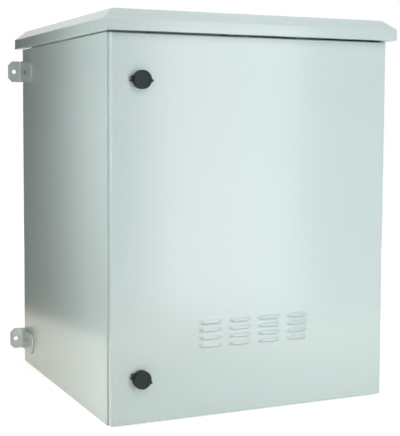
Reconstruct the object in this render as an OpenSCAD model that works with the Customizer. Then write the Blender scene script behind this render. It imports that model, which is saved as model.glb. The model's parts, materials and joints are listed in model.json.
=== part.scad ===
// Outdoor 19-inch equipment cabinet for a wall, with a raised roof and one louvred door.
// Millimetres. X runs across the cabinet, Y from the door to the wall, Z up.
// The origin is the middle of the underside of the body.

/* [Body] */
// Width of the body across its side walls
body_w = 600; // [560:1:900]
// Depth of the body from its door frame to its rear wall
body_d = 578; // [420:1:900]
// Height of the body
body_h = 736; // [560:1:1600]
// Thickness of the folded sheet
sheet_t = 1.5; // [1:0.1:2]
// Outer radius of the folds
bend_r = 3; // [2.2:0.1:4]
// Width of the frame that the door closes on
frame_w = 28; // [27:1:40]
// Height of the turned edges of the floor and the top
pan_edge = 25; // [15:1:34]

/* [Roof] */
// Overhang of the roof past each side wall
roof_side = 16; // [8:1:40]
// Overhang of the roof in front of the door
roof_front = 15; // [14:1:60]
// Overhang of the roof behind the rear wall
roof_rear = 8; // [2:1:9]
// Gap between the top of the body and the lower edge of the skirt
roof_gap = 0.5; // [0.5:0.5:20]
// Height of the upright skirt of the roof
skirt_h = 22; // [10:1:60]
// How much shorter the skirt is at the rear
rear_lift = 6; // [0:0.5:10]
// Width of the turned-in lip under the skirt
lip_w = 12; // [6:0.5:13]
// Rise of the sloped border of the roof
slope_rise = 19.5; // [8:0.5:60]
// Width of the sloped border of the roof
slope_run = 22; // [10:1:60]
// Diameter of the spacers that carry the roof
spacer_d = 16; // [12:1:24]
// Distance of the spacers from the walls of the body
spacer_inset = 140; // [100:1:160]

/* [Door] */
// Step from the side of the body to the side of the door
door_side_gap = 1; // [0:0.5:3]
// Step from the bottom of the body to the bottom of the door
door_low_gap = 3; // [1:0.5:6]
// Step from the top of the door to the top of the body
door_high_gap = 2; // [1:0.5:6]
// Depth of the turned edges of the door
door_depth = 18; // [17:0.5:24]
// Gap between door and frame, filled by the seal
door_gap = 4; // [3.5:0.5:8]
// Width of the inner lip of the door's turned edges
door_lip = 25; // [24:0.5:27]
// Width of the door seal
seal_w = 10; // [6:0.5:11]

/* [Louvres] */
// Columns of louvres
louvre_columns = 4; // [1:1:5]
// Rows of louvres
louvre_rows = 4; // [1:1:8]
// Width of one louvre
louvre_w = 55; // [46:1:60]
// Height of one louvre
louvre_h = 12.5; // [10:0.5:13]
// How far a louvre stands out of the door
louvre_out = 4.5; // [3:0.5:6]
// Height of the slot along which a louvre's lip is cut free
louvre_slot = 1.5; // [1:0.25:1.75]
// Distance between columns
louvre_pitch_x = 64; // [62:1:80]
// Distance between rows
louvre_pitch_z = 15; // [15:0.5:24]
// Height of the lowest louvre above the bottom edge of the door
louvre_start = 135.5; // [80:0.5:300]

/* [Hinges] */
// Distance of the hinge pins from the side of the door
hinge_inset = 8; // [7.5:0.5:8.5]
// Distance of the hinges from the top and bottom edges of the door
hinge_end = 127; // [80:1:200]
// Diameter of a hinge pin
hinge_pin_d = 6; // [4:0.5:7]
// Height of a hinge lug
lug_h = 24; // [16:1:50]

/* [Locks] */
// Distance of the locks from the free edge of the door
lock_edge = 58.5; // [52:0.5:60]
// Distance of the locks from the top and bottom edges of the door
lock_end = 85.7; // [80:0.1:200]
// Diameter of a dust cap
cap_d = 35; // [34:1:44]
// Height of a dust cap
cap_h = 5.7; // [5:0.1:8]
// Angle of the finger tab of the upper dust cap
upper_tab_angle = -5; // [-40:1:40]
// Angle of the finger tab of the lower dust cap
lower_tab_angle = -21; // [-40:1:40]
// Reach of a lock cam from its axis
cam_reach = 45; // [40:1:50]

/* [Wall brackets] */
// How far a bracket stands out of the side wall
bracket_reach = 32; // [30:1:60]
// Height of a bracket
bracket_h = 48; // [36:1:60]
// Thickness of a bracket
bracket_t = 3; // [2:0.5:5]
// Length of a bracket along the side wall
bracket_leg = 76; // [60:1:90]
// Distance of the bracket's bolt from the rear wall
bracket_bolt = 32; // [24:1:40]
// Diameter of the wall bolt hole
bracket_hole_d = 10; // [8:0.5:13]
// Distance of the wall bolt hole from the side wall
bracket_hole_x = 18.5; // [18:0.5:20]
// Height of the lower brackets above the bottom of the body
bracket_low = 53; // [52:1:120]
// Distance of the upper brackets below the top of the body
bracket_high = 51; // [49:1:120]
// Distance of the wall behind the rear wall of the body
wall_gap = 10; // [9:0.5:20]

/* [Rack] */
// Height of one rack unit
rack_unit = 44.45; // [40:0.05:50]
// Distance from the side of the body to the clear opening between a rail pair
rail_side = 74.6; // [74:0.1:90]
// Distance of a hole row from the clear opening
rack_hole_in = 7.15; // [6:0.05:9]
// Side of a square rack hole
rack_hole = 9.5; // [8:0.1:10]
// Width of the rail face
rail_face = 20; // [18:0.5:24]
// Depth of a rail
rail_depth = 40; // [36:1:60]
// Thickness of the rails and the struts
rail_t = 2; // [1.5:0.1:3]
// Distance of the front rails behind the door frame
rail_front = 70; // [50:1:110]
// Distance of the rear rails from the rear wall of the body
rail_rear = 110; // [90:1:130]
// Height of a depth strut
strut_h = 34; // [30:1:36]

/* [Cable entry] */
// Width of the cable opening in the floor
entry_w = 220; // [190:1:300]
// Depth of the cable opening in the floor
entry_d = 90; // [70:1:120]
// Distance of the middle of the cable opening from the rear wall
entry_rear = 120; // [90:1:160]
// Number of cable grommets
grommet_count = 4; // [1:1:4]
// Diameter of a grommet's hole in the gland plate
grommet_d = 28; // [20:1:34]

/* [Hidden] */
$fn = 48;

// How far a cut runs past the faces that it opens
overrun = 1;
// Radial clearance of pins, shafts, screws and nuts
fit_gap = 0.05;
// Room between pieces that move past each other
free_gap = 0.5;

// Body
half_w = body_w / 2;
half_d = body_d / 2;
inner_w = body_w - 2 * sheet_t;
inner_d = body_d - 2 * sheet_t;
opening_w = body_w - 2 * frame_w;
frame_y = -half_d;

// Door
door_w = body_w - 2 * door_side_gap;
door_h = body_h - door_low_gap - door_high_gap;
door_back_y = frame_y - door_gap;
door_y = door_back_y - door_depth;
door_inner_y = door_y + sheet_t;
door_mid_z = door_low_gap + door_h / 2;
door_top = door_low_gap + door_h;

// Roof
roof_w = body_w + 2 * roof_side;
roof_front_y = door_y - roof_front;
roof_d = half_d + roof_rear - roof_front_y;
roof_mid_y = roof_front_y + roof_d / 2;
roof_low = body_h + roof_gap;
roof_h = skirt_h + slope_rise;
spacer_h = roof_gap + roof_h - sheet_t;
spacer_x = half_w - spacer_inset;
spacer_y = half_d - spacer_inset;

// Fasteners: shank, spanner size or head, and head height
bolt_d = 8;
bolt_af = 13;
bolt_head_h = 5.3;
washer_d = 16;
washer_t = 1.6;
small_bolt_d = 6;
small_bolt_af = 10;
small_bolt_head_h = 4;
screw_d = 5;
screw_head_d = 9;
screw_head_h = 2.8;
spacer_thread = 25;

// Hinges
knuckle_d = 10;
hinge_neck_t = 4;
hinge_ear_t = 3;
hinge_plate_t = 2;
hinge_plate_reach = 12;
pin_head_d = 9;
pin_head_h = 2;
hinge_x = door_w / 2 - hinge_inset;
hinge_y = door_y + door_depth / 2;
hinge_low_z = door_low_gap + hinge_end;
hinge_high_z = door_top - hinge_end;
hinge_ear_z = lug_h / 2 + free_gap;
seal_inset = hinge_inset + knuckle_d / 2;
seal_corner_r = seal_w / 2;

// Filters
mat_t = 8;
tray_t = 1;
tray_ear = 14;
tray_slot_w = 6;
tray_slot_pitch = 12;
tray_border = 8;
filter_margin = 15;
stud_d = 4;
stud_nut_af = 7;
stud_nut_h = 4;
louvre_filter_w = (louvre_columns - 1) * louvre_pitch_x + louvre_w + 2 * filter_margin;
louvre_filter_h = (louvre_rows - 1) * louvre_pitch_z + louvre_h + 2 * filter_margin;
louvre_mid_z = door_low_gap + louvre_start + ((louvre_rows - 1) * louvre_pitch_z + louvre_h) / 2;
filter_edge = louvre_filter_w / 2 + tray_t + tray_ear;
vent_w = 260;
vent_d = 120;

// Louvres: a pressed hood leaves the door in one radius and turns over to its lip in another
louvre_lip_r = 7;
louvre_root_r = (louvre_h * louvre_h + louvre_out * louvre_out) / (2 * louvre_out) - louvre_lip_r;
louvre_straight = louvre_w - 2 * louvre_h;

// Locks, measured outward from the door's face along the lock's axis
lock_x = -door_w / 2 + lock_edge;
lock_low_z = door_low_gap + lock_end;
lock_high_z = door_top - lock_end;
lock_seal_t = 1;
lock_seal_d = 30;
lock_barrel_d = 22;
lock_flange_top = 6;
lock_nut_af = 27;
lock_nut_h = 6;
spindle_d = 14;
spindle_head_d = 17;
spindle_head_low = 3;
spindle_head_h = 2.4;
spindle_play = 0.2;
key_recess_d = 11;
key_recess_depth = 9;
key_post_d = 5;
key_bit_w = 8;
key_bit_t = 3;
key_post_drop = 1;
cam_t = 3;
cam_w = 20;
cam_square = 8;
cam_gap = 2;
cam_front = -(door_depth + door_gap + sheet_t + cam_gap);
cam_back = cam_front - cam_t;
barrel_end = cam_front + spindle_play;
cam_screw_thread = 12;
cap_wall = 2.5;
cap_top_t = 2;
cap_lift = 0.3;
cap_low = lock_flange_top + cap_lift;
cap_top = cap_low + cap_h;
cap_edge = 1;
cap_dish_d = 27;
cap_dish_depth = 0.5;
cap_tab_w = 5;
cap_tab_t = 3;
cap_tab_reach = 4;
cap_hinge_r = 1.8;
cap_pin_d = 2;
cap_pin_out = 2.5;
cap_pin_x = cap_d / 2 + cap_pin_out;
cap_pin_z = lock_flange_top + cap_lift / 2;
cap_knuckle_w = 5.4;
cap_ear_w = 2.5;
cap_ear_gap = 0.3;
cap_ear_reach = cap_hinge_r + cap_pin_out + cap_wall;
cap_pin_len = cap_knuckle_w + 2 * (cap_ear_gap + cap_ear_w);

// Door stiffeners, in the room between the louvre filter and the locks
stiffener_d = 12;
stiffener_end = 35;
stiffener_share = 1 / 3;
stiffener_room = -lock_x - lock_nut_af / (2 * cos(30)) - filter_edge;
stiffener_w = stiffener_share * stiffener_room;
stiffener_x = filter_edge + stiffener_w;

// Wall brackets
wall_y = half_d + wall_gap;
bracket_bend_r = 2 * bracket_t;
bracket_chamfer = 9;
bracket_bolt_y = half_d - bracket_bolt;
bracket_head_d = 14;
bracket_head_h = 3.5;
bracket_socket_af = 5;
bracket_socket_depth = 2;
bracket_low_z = bracket_low;
bracket_high_z = body_h - bracket_high;

// Rack
rack_hole_shares = [1 / 7, 1 / 2, 6 / 7];
rail_gap = 6;
rail_low = sheet_t + rail_gap;
rail_h = body_h - 2 * rail_low;
rail_end = 15;
rack_units = floor((rail_h - 2 * rail_end) / rack_unit);
rack_low = body_h / 2 - rack_units * rack_unit / 2;
rack_opening = body_w - 2 * rail_side;
rack_span = rack_opening + 2 * rack_hole_in;
rail_outer_x = rack_opening / 2 + rail_face;
rail_front_y = frame_y + rail_front;
rail_rear_y = half_d - rail_rear;
rail_bolt_shares = [0.35, 0.75];
rail_bolt_z = sheet_t + (strut_h - rail_t) / 2;
strut_inner_x = rail_outer_x;
strut_outer_x = inner_w / 2 - sheet_t;
strut_front_y = frame_y + sheet_t;
strut_len = inner_d - sheet_t;
strut_slot_extra = 15;

// Cable entry
gland_overlap = 20;
gland_t = 2;
gland_seal_t = 1;
entry_corner_r = 6;
entry_y = half_d - entry_rear;
gland_w = entry_w + 2 * gland_overlap;
gland_d = entry_d + 2 * gland_overlap;
gland_low = sheet_t + gland_seal_t;
gland_screw_x = entry_w / 2 + gland_overlap / 2;
gland_screw_y = entry_d / 2 + gland_overlap / 2;
grommet_pitch = entry_w / grommet_count;
grommet_rim = 3;
grommet_rim_t = 1.5;
grommet_web_t = 1.2;

// Earth studs
earth_len = 24;
earth_nut_seat = 8;
earth_inset = 110;

// Colours
paint = "gainsboro";
zinc = "silver";
plastic = "#202224";
rubber = "#2b2b2b";
felt = "whitesmoke";

// Shared shapes

// Rectangle with round corners, centred
module rounded_rect(w, d, r) {
    square([w - 2 * r, d], center = true);
    square([w, d - 2 * r], center = true);
    for (sx = [-1, 1], sy = [-1, 1])
        translate([sx * (w / 2 - r), sy * (d / 2 - r)])
            circle(r);
}

// Outline with round ends along X, centred
module slot(len, w) {
    square([len - w, w], center = true);
    for (s = [-1, 1])
        translate([s * (len - w) / 2, 0])
            circle(d = w);
}

// Stands an outline drawn in X and Z upright, from y to y + t
module upright(y, t) {
    translate([0, y + t, 0])
        rotate([90, 0, 0])
            linear_extrude(t)
                children();
}

// Round bar along X from x to x + len
module bar_x(x, len, d) {
    translate([x, 0, 0])
        rotate([0, 90, 0])
            cylinder(h = len, d = d);
}

// Round bar along Y from y to y + len
module bar_y(y, len, d) {
    translate([0, y + len, 0])
        rotate([90, 0, 0])
            cylinder(h = len, d = d);
}

// Six-sided prism measured across its flats
module hex(af, h) {
    cylinder(h = h, d = af / cos(30), $fn = 6);
}

// Places a child at the four corners of a rectangle
module corners(x, y) {
    for (sx = [-1, 1], sy = [-1, 1])
        translate([sx * x, sy * y, 0])
            children();
}

// Body

module both_sides() {
    children();
    mirror([1, 0, 0])
        children();
}

module wall_bolt_places() {
    both_sides()
        for (z = [bracket_low_z, bracket_high_z])
            translate([0, bracket_bolt_y, z])
                children();
}

module body_wrap() {
    color(paint)
        difference() {
            linear_extrude(body_h)
                difference() {
                    rounded_rect(body_w, body_d, bend_r);
                    rounded_rect(inner_w, inner_d, bend_r - sheet_t);
                    translate([0, frame_y])
                        square([opening_w, 2 * (sheet_t + overrun)], center = true);
                }
            wall_bolt_places()
                bar_x(half_w - sheet_t - overrun, sheet_t + 2 * overrun, bolt_d + 2 * fit_gap);
        }
}

// Folded tray that closes the body at one end, with the frame's cross strip at its front
module end_pan() {
    linear_extrude(sheet_t) {
        rounded_rect(inner_w, inner_d, bend_r - sheet_t);
        translate([0, frame_y + sheet_t / 2])
            square([opening_w, sheet_t], center = true);
    }
    linear_extrude(pan_edge)
        difference() {
            rounded_rect(inner_w, inner_d, bend_r - sheet_t);
            square([inner_w - 2 * sheet_t, inner_d - 2 * sheet_t], center = true);
            translate([0, -inner_d / 2])
                square([body_w, 2 * bend_r], center = true);
        }
    translate([-opening_w / 2, frame_y, 0])
        cube([opening_w, sheet_t, frame_w]);
}

module floor_pan() {
    color(paint)
        difference() {
            end_pan();
            translate([0, entry_y, -overrun]) {
                linear_extrude(sheet_t + 2 * overrun)
                    rounded_rect(entry_w, entry_d, entry_corner_r);
                gland_screw_places()
                    cylinder(h = sheet_t + 2 * overrun, d = screw_d + 2 * fit_gap);
            }
        }
}

module top_pan() {
    color(paint)
        difference() {
            translate([0, 0, body_h])
                mirror([0, 0, 1])
                    end_pan();
            translate([0, 0, body_h - sheet_t - overrun]) {
                linear_extrude(sheet_t + 2 * overrun)
                    vent_slots(vent_w, vent_d);
                corners(spacer_x, spacer_y)
                    cylinder(h = sheet_t + 2 * overrun, d = bolt_d + 2 * fit_gap);
            }
        }
}

// Roof

// Half outline of the roof's cross-section, for a half width and a depth below the outer skin
module roof_section(half, t) {
    slope = norm([slope_rise, slope_run]);
    knee = skirt_h - t * (slope - slope_rise) / slope_run;
    ridge = half - slope_run - t * (slope - slope_run) / slope_rise;
    low = t > 0 ? -overrun : 0;
    polygon([
        [-half + t, low], [half - t, low], [half - t, knee],
        [ridge, roof_h - t], [-ridge, roof_h - t], [-half + t, knee]
    ]);
}

module roof_block(t) {
    intersection() {
        upright(-roof_d / 2, roof_d)
            roof_section(roof_w / 2, t);
        rotate([0, 0, 90])
            upright(-roof_w / 2, roof_w)
                roof_section(roof_d / 2, t);
    }
}

module roof() {
    color(paint)
        translate([0, roof_mid_y, roof_low])
            difference() {
                roof_block(0);
                roof_block(sheet_t);
                translate([-roof_w / 2 + sheet_t, roof_d / 2 - sheet_t - overrun, -overrun])
                    cube([roof_w - 2 * sheet_t, sheet_t + 2 * overrun, rear_lift + overrun]);
            }
    color(paint)
        translate([0, roof_mid_y, roof_low])
            linear_extrude(sheet_t)
                difference() {
                    square([roof_w, roof_d], center = true);
                    translate([lip_w - roof_w / 2, lip_w - roof_d / 2])
                        square([roof_w - 2 * lip_w, roof_d]);
                }
}

module roof_spacers() {
    color(zinc)
        translate([0, 0, body_h])
            corners(spacer_x, spacer_y)
                difference() {
                    cylinder(h = spacer_h, d = spacer_d);
                    translate([0, 0, -overrun])
                        cylinder(h = spacer_thread + 2 * overrun, d = bolt_d + 2 * fit_gap);
                }
}

module roof_bolts() {
    color(zinc)
        translate([0, 0, body_h - sheet_t])
            corners(spacer_x, spacer_y) {
                translate([0, 0, -washer_t])
                    cylinder(h = washer_t, d = washer_d);
                translate([0, 0, -washer_t - bolt_head_h])
                    hex(bolt_af, bolt_head_h);
                translate([0, 0, -washer_t])
                    cylinder(h = washer_t + sheet_t + spacer_thread, d = bolt_d);
            }
}

// Rack

module rack_rail() {
    difference() {
        union() {
            translate([rack_opening / 2, 0, rail_low])
                cube([rail_face, rail_t, rail_h]);
            translate([rail_outer_x - rail_t, 0, rail_low])
                cube([rail_t, rail_depth, rail_h]);
        }
        for (unit = [0 : rack_units - 1], share = rack_hole_shares)
            translate([rack_span / 2, rail_t / 2, rack_low + (unit + share) * rack_unit])
                cube([rack_hole, rail_t + 2 * overrun, rack_hole], center = true);
        rail_bolt_places()
            bar_x(rail_outer_x - rail_t - overrun, rail_t + 2 * overrun, small_bolt_d + 2 * fit_gap);
    }
}

module rail_bolt_places() {
    for (share = rail_bolt_shares, z = [rail_bolt_z, body_h - rail_bolt_z])
        translate([0, share * rail_depth, z])
            children();
}

module front_rail_place() {
    translate([0, rail_front_y, 0])
        children();
}

module rear_rail_place() {
    translate([0, rail_rear_y, 0])
        mirror([0, 1, 0])
            children();
}

module rack_rail_front_right() {
    color(zinc)
        front_rail_place()
            rack_rail();
}

module rack_rail_front_left() {
    color(zinc)
        mirror([1, 0, 0])
            front_rail_place()
                rack_rail();
}

module rack_rail_rear_right() {
    color(zinc)
        rear_rail_place()
            rack_rail();
}

module rack_rail_rear_left() {
    color(zinc)
        mirror([1, 0, 0])
            rear_rail_place()
                rack_rail();
}

// Channel from the door frame to the rear wall, open towards the pan that carries it
module depth_strut() {
    strut_w = strut_outer_x - strut_inner_x;
    slot_mid = rail_depth * (rail_bolt_shares[0] + rail_bolt_shares[1]) / 2;
    slot_len = rail_depth * (rail_bolt_shares[1] - rail_bolt_shares[0]) + 2 * strut_slot_extra;
    difference() {
        translate([strut_inner_x, strut_front_y, sheet_t])
            cube([strut_w, strut_len, strut_h]);
        translate([strut_inner_x + rail_t, strut_front_y - overrun, sheet_t - overrun])
            cube([strut_w - 2 * rail_t, strut_len + 2 * overrun, strut_h - rail_t + overrun]);
        for (y = [rail_front_y + slot_mid, rail_rear_y - slot_mid])
            translate([strut_inner_x - overrun, y, rail_bolt_z])
                rotate([90, 0, 90])
                    linear_extrude(rail_t + 2 * overrun)
                        slot(slot_len, small_bolt_d + 2 * fit_gap);
    }
}

module depth_strut_low_right() {
    color(zinc)
        depth_strut();
}

module depth_strut_low_left() {
    color(zinc)
        mirror([1, 0, 0])
            depth_strut();
}

module depth_strut_high_right() {
    color(zinc)
        translate([0, 0, body_h])
            mirror([0, 0, 1])
                depth_strut();
}

module depth_strut_high_left() {
    color(zinc)
        translate([0, 0, body_h])
            mirror([0, 0, 1])
                mirror([1, 0, 0])
                    depth_strut();
}

// Places a child at every joint between a rail and a strut
module rail_joints() {
    both_sides() {
        front_rail_place()
            rail_bolt_places()
                children();
        rear_rail_place()
            rail_bolt_places()
                children();
    }
}

module rail_bolts() {
    head_x = rail_outer_x - rail_t;
    nut_x = rail_outer_x + rail_t;
    color(zinc)
        rail_joints() {
            translate([head_x - small_bolt_head_h, 0, 0])
                rotate([0, 90, 0])
                    hex(small_bolt_af, small_bolt_head_h);
            bar_x(head_x, nut_x + small_bolt_head_h - head_x, small_bolt_d);
        }
}

module rail_nuts() {
    color(zinc)
        rail_joints()
            translate([rail_outer_x + rail_t, 0, 0])
                rotate([0, 90, 0])
                    difference() {
                        hex(small_bolt_af, small_bolt_head_h);
                        translate([0, 0, -overrun])
                            cylinder(h = small_bolt_head_h + 2 * overrun, d = small_bolt_d + 2 * fit_gap);
                    }
}

// Wall brackets

module wall_bracket(z) {
    bend_x = half_w + bracket_bend_r;
    bend_y = wall_y - bracket_bend_r;
    tab_x = half_w + bracket_reach;
    difference() {
        translate([0, 0, z - bracket_h / 2])
            linear_extrude(bracket_h) {
                translate([half_w, half_d - bracket_leg])
                    square([bracket_t, bend_y - half_d + bracket_leg]);
                translate([bend_x, wall_y - bracket_t])
                    square([tab_x - bend_x, bracket_t]);
                translate([bend_x, bend_y])
                    difference() {
                        intersection() {
                            circle(bracket_bend_r);
                            translate([-bracket_bend_r, 0])
                                square(bracket_bend_r);
                        }
                        circle(bracket_bend_r - bracket_t);
                    }
            }
        for (s = [-1, 1]) {
            translate([tab_x, wall_y, z + s * bracket_h / 2])
                rotate([0, 45, 0])
                    cube([bracket_chamfer * sqrt(2), 2 * (bracket_t + overrun), bracket_chamfer * sqrt(2)],
                        center = true);
            translate([half_w, half_d - bracket_leg, z + s * bracket_h / 2])
                rotate([45, 0, 0])
                    cube([2 * (bracket_t + overrun), bracket_chamfer * sqrt(2), bracket_chamfer * sqrt(2)],
                        center = true);
        }
        translate([half_w + bracket_hole_x, 0, z])
            bar_y(wall_y - bracket_t - overrun, bracket_t + 2 * overrun, bracket_hole_d);
        translate([0, bracket_bolt_y, z])
            bar_x(half_w - overrun, bracket_t + 2 * overrun, bolt_d + 2 * fit_gap);
    }
}

module wall_bracket_upper_right() {
    color(paint)
        wall_bracket(bracket_high_z);
}

module wall_bracket_upper_left() {
    color(paint)
        mirror([1, 0, 0])
            wall_bracket(bracket_high_z);
}

module wall_bracket_lower_right() {
    color(paint)
        wall_bracket(bracket_low_z);
}

module wall_bracket_lower_left() {
    color(paint)
        mirror([1, 0, 0])
            wall_bracket(bracket_low_z);
}

module bracket_bolts() {
    head_x = half_w + bracket_t;
    nut_x = half_w - sheet_t - bolt_head_h;
    dome_r = (bracket_head_d * bracket_head_d / 4 + bracket_head_h * bracket_head_h) / (2 * bracket_head_h);
    color(zinc)
        wall_bolt_places()
            difference() {
                union() {
                    translate([head_x, 0, 0])
                        rotate([0, 90, 0])
                            rotate_extrude()
                                intersection() {
                                    translate([0, bracket_head_h - dome_r])
                                        circle(dome_r);
                                    square([dome_r, dome_r]);
                                }
                    bar_x(nut_x, head_x - nut_x, bolt_d);
                }
                translate([head_x + bracket_head_h - bracket_socket_depth, 0, 0])
                    rotate([0, 90, 0])
                        hex(bracket_socket_af, bracket_socket_depth + overrun);
            }
}

module bracket_nuts() {
    color(zinc)
        wall_bolt_places()
            translate([half_w - sheet_t - bolt_head_h, 0, 0])
                rotate([0, 90, 0])
                    difference() {
                        hex(bolt_af, bolt_head_h);
                        translate([0, 0, -overrun])
                            cylinder(h = bolt_head_h + 2 * overrun, d = bolt_d + 2 * fit_gap);
                    }
}

// Cable entry

module gland_screw_places() {
    corners(gland_screw_x, gland_screw_y)
        children();
    for (s = [-1, 1])
        translate([0, s * gland_screw_y, 0])
            children();
}

module grommet_places() {
    for (i = [0 : grommet_count - 1])
        translate([(i - (grommet_count - 1) / 2) * grommet_pitch, 0, 0])
            children();
}

module gland_plate() {
    color(paint)
        translate([0, entry_y, gland_low])
            difference() {
                linear_extrude(gland_t)
                    rounded_rect(gland_w, gland_d, entry_corner_r);
                translate([0, 0, -overrun]) {
                    gland_screw_places()
                        cylinder(h = gland_t + 2 * overrun, d = screw_d + 2 * fit_gap);
                    grommet_places()
                        cylinder(h = gland_t + 2 * overrun, d = grommet_d);
                }
            }
}

module gland_plate_seal() {
    color(rubber)
        translate([0, entry_y, sheet_t])
            difference() {
                linear_extrude(gland_seal_t)
                    difference() {
                        rounded_rect(gland_w, gland_d, entry_corner_r);
                        rounded_rect(entry_w, entry_d, entry_corner_r);
                    }
                translate([0, 0, -overrun])
                    gland_screw_places()
                        cylinder(h = gland_seal_t + 2 * overrun, d = screw_d + 2 * fit_gap);
            }
}

module gland_plate_screws() {
    color(zinc)
        translate([0, entry_y, 0])
            gland_screw_places() {
                cylinder(h = gland_low + gland_t, d = screw_d);
                translate([0, 0, gland_low + gland_t])
                    cylinder(h = screw_head_h, d = screw_head_d);
            }
}

// Rubber grommet with a groove for the plate and a thin web to pierce
module cable_grommets() {
    bore_r = grommet_d / 2 - grommet_rim;
    color(rubber)
        translate([0, entry_y, gland_low])
            grommet_places()
                difference() {
                    union() {
                        translate([0, 0, -grommet_rim_t])
                            cylinder(h = grommet_rim_t, d = grommet_d + 2 * grommet_rim);
                        cylinder(h = gland_t, d = grommet_d);
                        translate([0, 0, gland_t])
                            cylinder(h = grommet_rim_t, d = grommet_d + 2 * grommet_rim);
                    }
                    translate([0, 0, -grommet_rim_t - overrun])
                        cylinder(h = grommet_rim_t + overrun, r = bore_r);
                    translate([0, 0, grommet_web_t])
                        cylinder(h = gland_t + grommet_rim_t + overrun, r = bore_r);
                }
}

// Filters

module vent_slots(w, d) {
    count = floor((w - 2 * tray_border) / tray_slot_pitch);
    for (i = [0 : count - 1])
        translate([(i - (count - 1) / 2) * tray_slot_pitch, 0])
            rotate([0, 0, 90])
                slot(d - 2 * tray_border, tray_slot_w);
}

module filter_stud_places(w) {
    for (s = [-1, 1])
        translate([s * (w / 2 + tray_t + tray_ear / 2), 0, 0])
            children();
}

// Tray that holds a filter mat against a panel, drawn on the panel's face
module filter_tray(w, d) {
    difference() {
        union() {
            linear_extrude(mat_t + tray_t)
                square([w + 2 * tray_t, d + 2 * tray_t], center = true);
            linear_extrude(tray_t)
                square([w + 2 * (tray_t + tray_ear), d / 2], center = true);
        }
        translate([0, 0, -overrun])
            linear_extrude(mat_t + overrun)
                square([w, d], center = true);
        linear_extrude(mat_t + tray_t + overrun)
            vent_slots(w, d);
        filter_stud_places(w)
            translate([0, 0, -overrun])
                cylinder(h = tray_t + 2 * overrun, d = stud_d + 2 * fit_gap);
    }
}

module filter_mat(w, d) {
    linear_extrude(mat_t)
        square([w, d], center = true);
}

module filter_studs(w) {
    filter_stud_places(w) {
        cylinder(h = tray_t + 2 * stud_nut_h, d = stud_d);
        translate([0, 0, tray_t])
            hex(stud_nut_af, stud_nut_h);
    }
}

// Turns a shape drawn on a panel to the underside of the top
module under_top() {
    translate([0, 0, body_h - sheet_t])
        mirror([0, 0, 1])
            children();
}

// Turns a shape drawn on a panel to the back of the door, behind the louvres
module behind_louvres() {
    translate([0, door_inner_y, louvre_mid_z])
        rotate([-90, 0, 0])
            children();
}

module vent_filter_tray() {
    color(zinc)
        under_top()
            filter_tray(vent_w, vent_d);
}

module vent_filter_mat() {
    color(felt)
        under_top()
            filter_mat(vent_w, vent_d);
}

module vent_filter_studs() {
    color(zinc)
        under_top()
            filter_studs(vent_w);
}

module louvre_filter_tray() {
    color(zinc)
        behind_louvres()
            filter_tray(louvre_filter_w, louvre_filter_h);
}

module louvre_filter_mat() {
    color(felt)
        behind_louvres()
            filter_mat(louvre_filter_w, louvre_filter_h);
}

module louvre_filter_studs() {
    color(zinc)
        behind_louvres()
            filter_studs(louvre_filter_w);
}

// Door

// The door's outer form with its folds rounded, shrunk on every side by inset
module door_block(inset) {
    r = bend_r - inset;
    translate([0, door_y + door_depth / 2, door_mid_z])
        intersection() {
            linear_extrude(door_h - 2 * inset, center = true)
                rounded_rect(door_w - 2 * inset, door_depth - 2 * inset, r);
            rotate([0, 90, 0])
                linear_extrude(door_w - 2 * inset, center = true)
                    rounded_rect(door_h - 2 * inset, door_depth - 2 * inset, r);
        }
}

module louvre_places() {
    for (column = [0 : louvre_columns - 1], row = [0 : louvre_rows - 1])
        translate([
            (column - (louvre_columns - 1) / 2) * louvre_pitch_x,
            door_y,
            door_low_gap + louvre_start + row * louvre_pitch_z
        ])
            children();
}

// Section of a louvre's hood from its lip to its root, its outer skin moved in by t, down to a depth low
module louvre_section(t, low) {
    share = (louvre_lip_r - t) / (louvre_lip_r + louvre_root_r);
    turn_z = share * louvre_h;
    lip_mid = louvre_out - louvre_lip_r;
    turn_out = lip_mid + share * (louvre_root_r - lip_mid);
    translate([0, low])
        square([turn_z, turn_out - low]);
    intersection() {
        translate([0, lip_mid])
            circle(louvre_lip_r - t);
        translate([0, turn_out])
            square([turn_z, louvre_out]);
    }
    difference() {
        translate([turn_z, low])
            square([louvre_h - turn_z, turn_out - low]);
        translate([louvre_h, louvre_root_r])
            circle(louvre_root_r + t);
    }
}

// Hood with a straight middle and a quarter turn of the same section at each end
module louvre_hood(t, low) {
    rotate([180, -90, 0])
        linear_extrude(louvre_straight, center = true)
            louvre_section(t, low);
    for (s = [-1, 1])
        translate([s * louvre_straight / 2, 0, 0])
            intersection() {
                rotate([90, 0, 0])
                    rotate_extrude()
                        louvre_section(t, low);
                translate([s > 0 ? 0 : -louvre_h - overrun, -louvre_out - overrun, 0])
                    cube([louvre_h + overrun, louvre_out - low + 2 * overrun, louvre_h + overrun]);
            }
}

// Slot through the sheet, below the lip
module louvre_slit() {
    slit_w = louvre_straight + louvre_lip_r;
    translate([-slit_w / 2, -sheet_t / 2, -louvre_slot])
        cube([slit_w, 3 * sheet_t / 2 + overrun, louvre_slot + sheet_t / 2]);
}

module door_panel() {
    notch_x = hinge_x - hinge_neck_t / 2 - free_gap;
    color(paint)
        difference() {
            union() {
                difference() {
                    door_block(0);
                    door_block(sheet_t);
                    translate([0, 0, door_mid_z])
                        upright(door_back_y - 2 * sheet_t, 2 * sheet_t + overrun)
                            square([door_w - 2 * door_lip, door_h - 2 * door_lip], center = true);
                }
                louvre_places()
                    louvre_hood(0, -sheet_t / 2);
            }
            louvre_places() {
                louvre_hood(sheet_t, -sheet_t - overrun);
                louvre_slit();
            }
            for (z = [lock_low_z, lock_high_z])
                translate([lock_x, 0, z])
                    bar_y(door_y - overrun, sheet_t + 2 * overrun, lock_barrel_d + 2 * fit_gap);
            for (z = [hinge_low_z, hinge_high_z])
                translate([notch_x, door_y + bend_r, z - hinge_ear_z])
                    cube([door_w / 2 - notch_x + overrun, door_depth, 2 * hinge_ear_z]);
        }
}

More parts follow.
